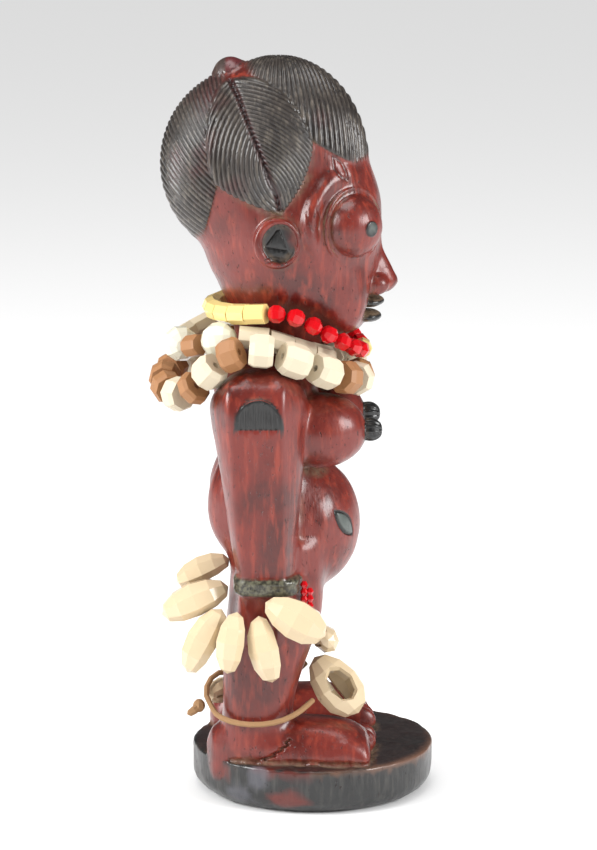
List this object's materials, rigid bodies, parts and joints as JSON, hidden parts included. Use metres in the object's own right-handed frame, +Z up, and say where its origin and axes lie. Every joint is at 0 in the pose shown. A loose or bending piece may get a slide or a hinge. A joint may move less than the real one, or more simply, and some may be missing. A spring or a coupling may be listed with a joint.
{
  "type": "yoruba carved wooden twin figure",
  "caption": "Standing carved and painted wooden twin figure on a round base, dressed with bead necklaces and cowrie shells, for display on a shelf or altar.",
  "frame": {"origin": "centre of the round base's flat underside", "axes": "+Z up the figure; the figure faces -Y and its right side is towards -X"},
  "size_m": [0.0939, 0.1, 0.259],
  "materials": {
    "carved_wood": "carved hardwood rubbed with red-brown and black paint, worn to a satin polish with dust in the cuts",
    "red_glass": "opaque red glass, glossy",
    "yellow_glass": "opaque pale yellow glass, satin",
    "milky_glass": "opaque milky glass, scratched",
    "cream_bone": "cut shell and bone, worn smooth",
    "brown_bone": "brown and tan bone and shell, worn smooth",
    "cowrie_shell": "polished cream shell with darker rims and teeth",
    "twine": "twisted plant-fibre twine, hairy"
  },
  "bodies": {
    "root": {"ankle_cowrie_back": "cowrie_shell", "ankle_cowrie_open": "cowrie_shell", "ankle_cowrie_top": "cowrie_shell", "ankle_twine": "twine", "ankle_twine_knot": "twine", "carved_figure": "carved_wood", "choker_red_left_1": "red_glass", "choker_red_left_2": "red_glass", "choker_red_left_3": "red_glass", "choker_red_left_4": "red_glass", "choker_red_left_5": "red_glass", "choker_red_left_6": "red_glass", "choker_red_left_7": "red_glass", "choker_red_right_1": "red_glass", "choker_red_right_2": "red_glass", "choker_red_right_3": "red_glass", "choker_red_right_4": "red_glass", "choker_red_right_5": "red_glass", "choker_red_right_6": "red_glass", "choker_red_right_7": "red_glass", "choker_throat_bead": "yellow_glass", "choker_yellow_run": "yellow_glass", "lower_brown_bead_01": "brown_bone", "lower_brown_bead_02": "brown_bone", "lower_brown_bead_12": "brown_bone", "lower_brown_bead_18": "brown_bone", "lower_brown_bead_21": "brown_bone", "lower_cream_bead_08": "cream_bone", "lower_cream_bead_09": "cream_bone", "lower_cream_bead_13": "cream_bone", "lower_cream_bead_16": "cream_bone", "lower_cream_bead_20": "cream_bone", "lower_mottled_bead_04": "brown_bone", "lower_tan_bead_06": "brown_bone", "lower_tan_bead_10": "brown_bone", "lower_tan_bead_15": "brown_bone", "lower_white_bead_03": "cream_bone", "lower_white_bead_05": "cream_bone", "lower_white_bead_07": "cream_bone", "lower_white_bead_11": "cream_bone", "lower_white_bead_14": "cream_bone", "lower_white_bead_17": "cream_bone", "lower_white_bead_19": "cream_bone", "middle_cream_run_left": "cream_bone", "middle_cream_run_right": "cream_bone", "middle_cream_run_throat": "cream_bone", "middle_milky_bead_back": "milky_glass", "middle_milky_bead_side": "milky_glass", "middle_spacer_bead": "brown_bone", "wrist_cowrie_back": "cowrie_shell", "wrist_cowrie_back_low": "cowrie_shell", "wrist_cowrie_front": "cowrie_shell", "wrist_cowrie_front_low": "cowrie_shell", "wrist_cowrie_low": "cowrie_shell", "wrist_cowrie_top": "cowrie_shell", "wrist_red_seed_beads": "red_glass"}
  },
  "joints": []
}
